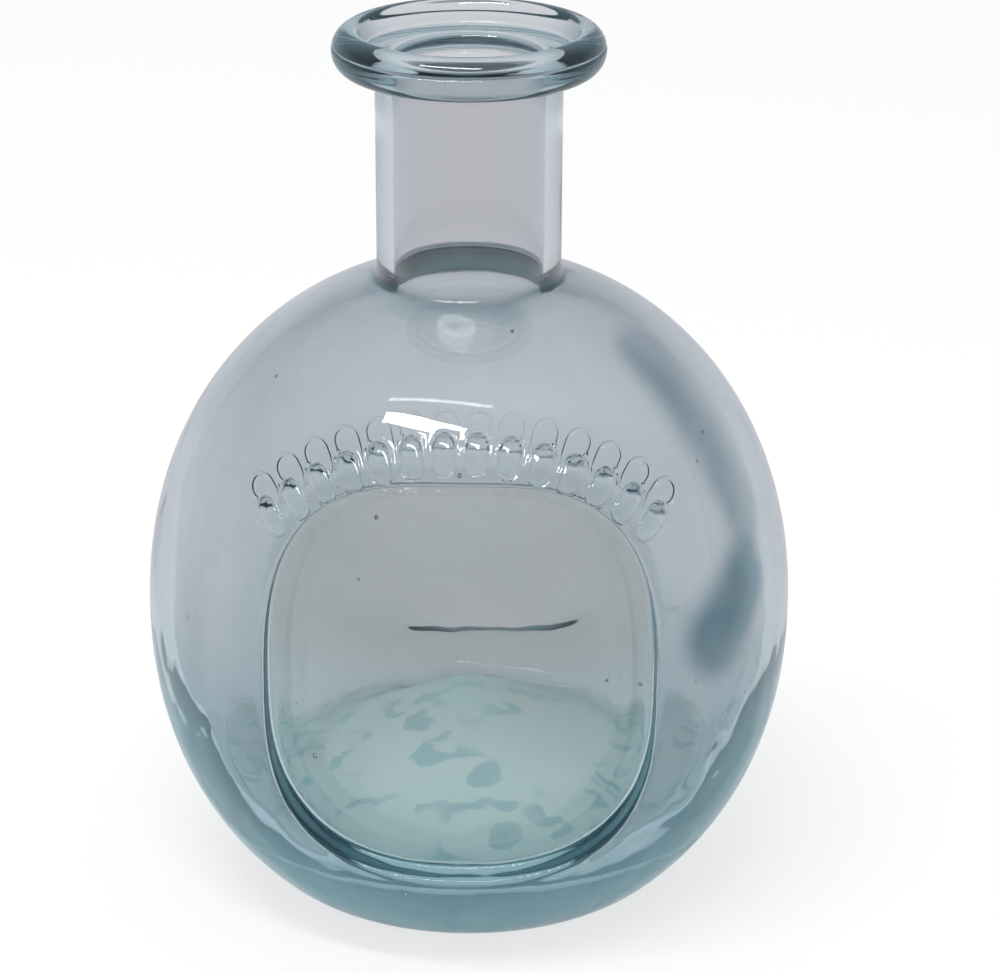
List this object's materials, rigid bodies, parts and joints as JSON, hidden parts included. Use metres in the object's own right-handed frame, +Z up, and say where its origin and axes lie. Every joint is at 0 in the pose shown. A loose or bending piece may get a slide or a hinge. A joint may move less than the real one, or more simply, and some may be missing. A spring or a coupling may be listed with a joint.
{
  "type": "tequila bottle",
  "caption": "Round-bodied glass bottle with a straight neck, a rolled lip, a recessed squarish panel on both faces and an arc of raised beads over the front panel.",
  "frame": {"origin": "middle of the foot, on the table", "axes": "+Z up along the bottle's axis and out of the mouth, -Y out of the front panel, +X to the right when the front is seen"},
  "size_m": [0.1276, 0.118, 0.172],
  "materials": {
    "glass": "glossy pale blue-green moulded glass, slightly wavy, with seeds and fine mould seams"
  },
  "bodies": {
    "root": {"bottle": "glass"}
  },
  "joints": []
}
